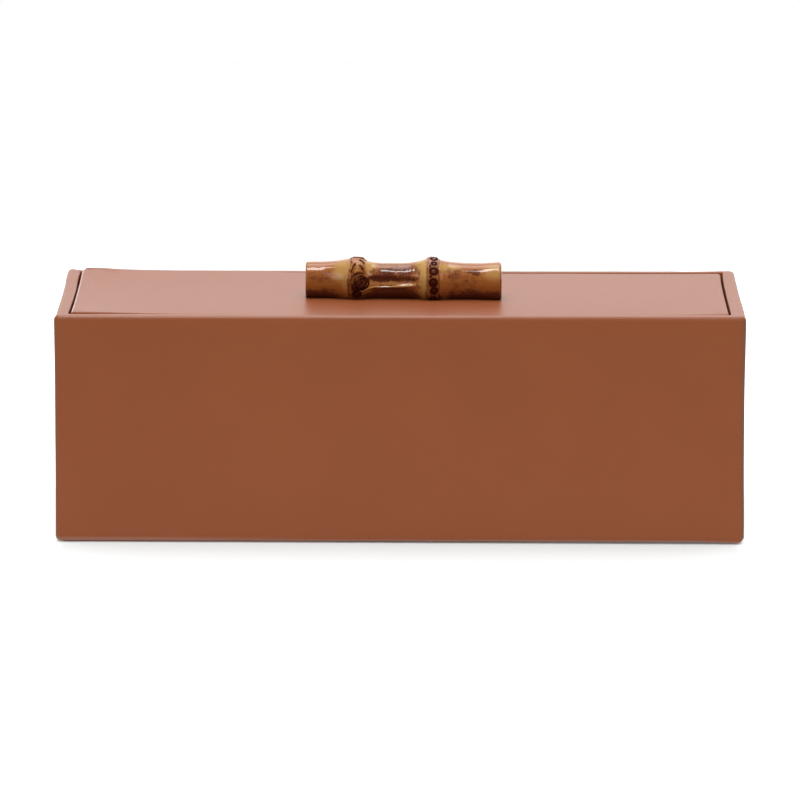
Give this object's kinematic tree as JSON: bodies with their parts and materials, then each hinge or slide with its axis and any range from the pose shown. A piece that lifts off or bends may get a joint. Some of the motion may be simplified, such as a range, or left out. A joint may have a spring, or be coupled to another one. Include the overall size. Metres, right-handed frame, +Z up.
{
  "type": "stationery box",
  "caption": "Rectangular leather-covered stationery box with an inset lift-off lid, a bamboo-root handle on top and a suede-lined room inside.",
  "frame": {"origin": "middle of the base, on the table the box stands on", "axes": "+Z up, +X along the length of the box and its handle, -Y towards the front, the side the picture is taken from"},
  "size_m": [0.3048, 0.127, 0.1198],
  "materials": {
    "leather": "smooth matt faux leather, tan",
    "board": "raw fibreboard",
    "card": "grey board",
    "suede": "napped microsuede, sand",
    "felt": "pressed felt, dark brown",
    "bamboo": "flame-toned bamboo root under gloss lacquer",
    "brass": "satin"
  },
  "bodies": {
    "case": {"base_board": "board", "front_board": "board", "back_board": "board", "left_board": "board", "right_board": "board", "case_cover": "leather", "base_infill": "card", "base_felt": "felt", "front_liner": "board", "back_liner": "board", "left_liner": "board", "right_liner": "board", "front_lining": "suede", "back_lining": "suede", "left_lining": "suede", "right_lining": "suede", "floor_card": "card", "floor_lining": "suede"},
    "lid": {"lid_cover": "leather", "lid_board": "board", "lid_infill": "card", "lid_panel_card": "card", "lid_lining": "suede", "handle": "bamboo", "handle_screws": "brass", "cup_washers": "brass"}
  },
  "joints": [
    {"name": "lid_lift", "type": "slide", "parent": "case", "child": "lid", "axis": [0, 0, 1], "range_m": [0, 0.15]}
  ]
}
